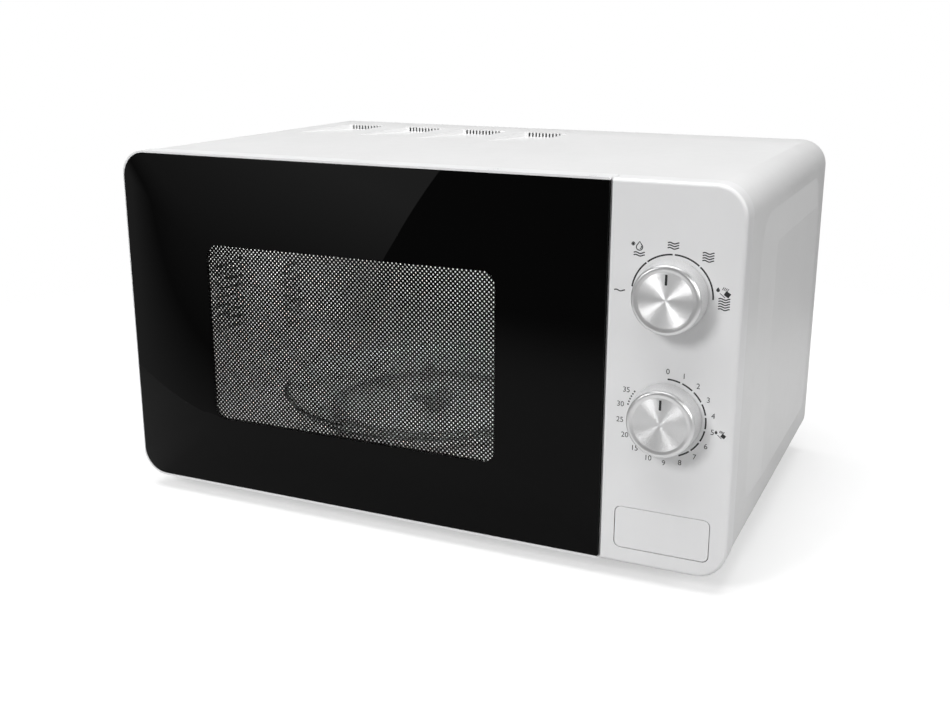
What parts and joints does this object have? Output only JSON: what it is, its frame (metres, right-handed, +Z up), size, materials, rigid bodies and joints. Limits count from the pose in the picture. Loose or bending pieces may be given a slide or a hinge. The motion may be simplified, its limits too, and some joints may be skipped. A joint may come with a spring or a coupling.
{
  "type": "microwave oven",
  "caption": "Countertop microwave oven with a side-hinged glass door, rotary power and timer knobs, a door release button, glass turntable and vented steel cabinet.",
  "frame": {"origin": "on the surface the oven stands on, under the middle of its outer box", "axes": "+X towards the control panel side, +Y towards the back, +Z up"},
  "size_m": [0.456, 0.326, 0.2588],
  "materials": {
    "white_enamel": "smooth white powder enamel, semi-gloss",
    "cavity_enamel": "light grey-white oven enamel",
    "white_moulding": "white ABS, satin to semi-gloss",
    "knob_moulding": "silver-painted ABS, satin",
    "knob_metal": "turned aluminium cap with concentric grain",
    "black_glass": "clear toughened glass with a black printed border",
    "clear_glass": "clear glass",
    "clear_film": "clear polycarbonate sheet",
    "screen_metal": "black-painted perforated steel",
    "plated_steel": "zinc-plated sheet steel",
    "black_moulding": "black ABS, matt",
    "grey_moulding": "grey PBT, matt",
    "foot_rubber": "black rubber, matt",
    "core_steel": "varnished lamination stack",
    "winding_copper": "lacquered copper wire",
    "fin_aluminium": "bare aluminium fins",
    "mica": "pressed mica sheet",
    "spring_steel": "bright drawn wire",
    "bell_metal": "stamped bell dome",
    "bulb_glass": "frosted bulb",
    "circuit_board": "green board with wound and moulded components"
  },
  "bodies": {
    "chassis": {"cabinet": "white_enamel", "rear_panel": "plated_steel", "cabinet_screws": "plated_steel", "rear_spacer": "black_moulding", "cord_gland": "black_moulding", "base_plate": "plated_steel", "feet": "foot_rubber", "front_plate": "white_enamel", "upper_hinge": "plated_steel", "lower_hinge": "plated_steel", "cavity": "cavity_enamel", "waveguide_cover": "mica", "waveguide": "plated_steel", "magnetron_yoke": "plated_steel", "magnetron_tube": "plated_steel", "magnetron_fins": "fin_aluminium", "magnetron_filter_box": "plated_steel", "transformer_core": "core_steel", "transformer_windings": "winding_copper", "capacitor": "fin_aluminium", "capacitor_clamp": "plated_steel", "high_voltage_diode": "black_moulding", "thermal_cutout": "grey_moulding", "fan_shroud": "grey_moulding", "fan_motor": "core_steel", "lamp_holder": "grey_moulding", "cavity_lamp": "bulb_glass", "control_panel": "white_moulding", "power_selector": "grey_moulding", "timer_unit": "grey_moulding", "timer_motor": "plated_steel", "bell": "bell_metal", "button_spring": "spring_steel", "latch_bracket": "grey_moulding", "door_switches": "black_moulding", "turntable_motor": "plated_steel", "filter_board": "circuit_board"},
    "door": {"door_frame": "white_moulding", "door_glass": "black_glass", "window_screen": "screen_metal", "door_panel": "white_enamel", "choke_cover": "black_moulding", "inner_window": "clear_film", "latch_spring": "spring_steel"},
    "latch": {"latch_hooks": "grey_moulding"},
    "power_knob": {"power_knob": "knob_moulding", "power_knob_face": "knob_metal", "power_shaft": "grey_moulding"},
    "timer_knob": {"timer_knob": "knob_moulding", "timer_knob_face": "knob_metal", "timer_shaft": "grey_moulding"},
    "door_button": {"door_button": "white_moulding"},
    "release_lever": {"release_lever": "grey_moulding"},
    "turntable": {"turntable_coupler": "grey_moulding", "glass_tray": "clear_glass"},
    "roller_ring": {"roller_ring": "grey_moulding"},
    "roller_1": {"roller_1": "grey_moulding"},
    "roller_2": {"roller_2": "grey_moulding"},
    "roller_3": {"roller_3": "grey_moulding"},
    "fan": {"fan_blades": "grey_moulding"}
  },
  "joints": [
    {"name": "door_hinge", "type": "hinge", "parent": "chassis", "child": "door", "pos_m": [-0.2185, -0.1387, 0.13], "axis": [0, 0, -1], "range_deg": [0, 95]},
    {"name": "button_press", "type": "slide", "parent": "chassis", "child": "door_button", "axis": [0, 1, 0], "range_m": [0, 0.0045], "stiffness_N_per_m": 300, "springref_m": -0.002, "deforming": ["button_spring"]},
    {"name": "lever_turn", "type": "hinge", "parent": "chassis", "child": "release_lever", "pos_m": [0.146, -0.121, 0.075], "axis": [1, 0, 0], "range_deg": [0, 8]},
    {"name": "latch_lift", "type": "slide", "parent": "door", "child": "latch", "axis": [0, 0, 1], "range_m": [0, 0.0033], "deforming": ["latch_spring"]},
    {"name": "power_turn", "type": "hinge", "parent": "chassis", "child": "power_knob", "pos_m": [0.1835, -0.15, 0.1907], "axis": [0, 1, 0], "range_deg": [-90, 90]},
    {"name": "timer_turn", "type": "hinge", "parent": "chassis", "child": "timer_knob", "pos_m": [0.1835, -0.15, 0.1138], "axis": [0, 1, 0], "range_deg": [0, 300]},
    {"name": "turntable_spin", "type": "hinge", "parent": "chassis", "child": "turntable", "pos_m": [-0.05, 0.005, 0.045], "axis": [0, 0, 1], "continuous": true},
    {"name": "ring_spin", "type": "hinge", "parent": "chassis", "child": "roller_ring", "pos_m": [-0.05, 0.005, 0.044], "axis": [0, 0, 1], "continuous": true},
    {"name": "roller_1_spin", "type": "hinge", "parent": "roller_ring", "child": "roller_1", "pos_m": [0.0385, 0.005, 0.044], "axis": [1, 0, 0], "continuous": true},
    {"name": "roller_2_spin", "type": "hinge", "parent": "roller_ring", "child": "roller_2", "pos_m": [-0.09425, 0.08164, 0.044], "axis": [-0.5, 0.866, 0], "continuous": true},
    {"name": "roller_3_spin", "type": "hinge", "parent": "roller_ring", "child": "roller_3", "pos_m": [-0.09425, -0.07164, 0.044], "axis": [-0.5, -0.866, 0], "continuous": true},
    {"name": "fan_spin", "type": "hinge", "parent": "chassis", "child": "fan", "pos_m": [0.16, 0.126, 0.178], "axis": [0, 1, 0], "continuous": true}
  ],
  "couplings": [
    {"joint": "lever_turn", "follows": "button_press", "rad_per_m": 30.3},
    {"joint": "latch_lift", "follows": "button_press", "ratio": 0.697},
    {"joint": "ring_spin", "follows": "turntable_spin", "ratio": 0.5},
    {"joint": "roller_1_spin", "follows": "turntable_spin", "ratio": -6.6045},
    {"joint": "roller_2_spin", "follows": "turntable_spin", "ratio": -6.6045},
    {"joint": "roller_3_spin", "follows": "turntable_spin", "ratio": -6.6045}
  ]
}
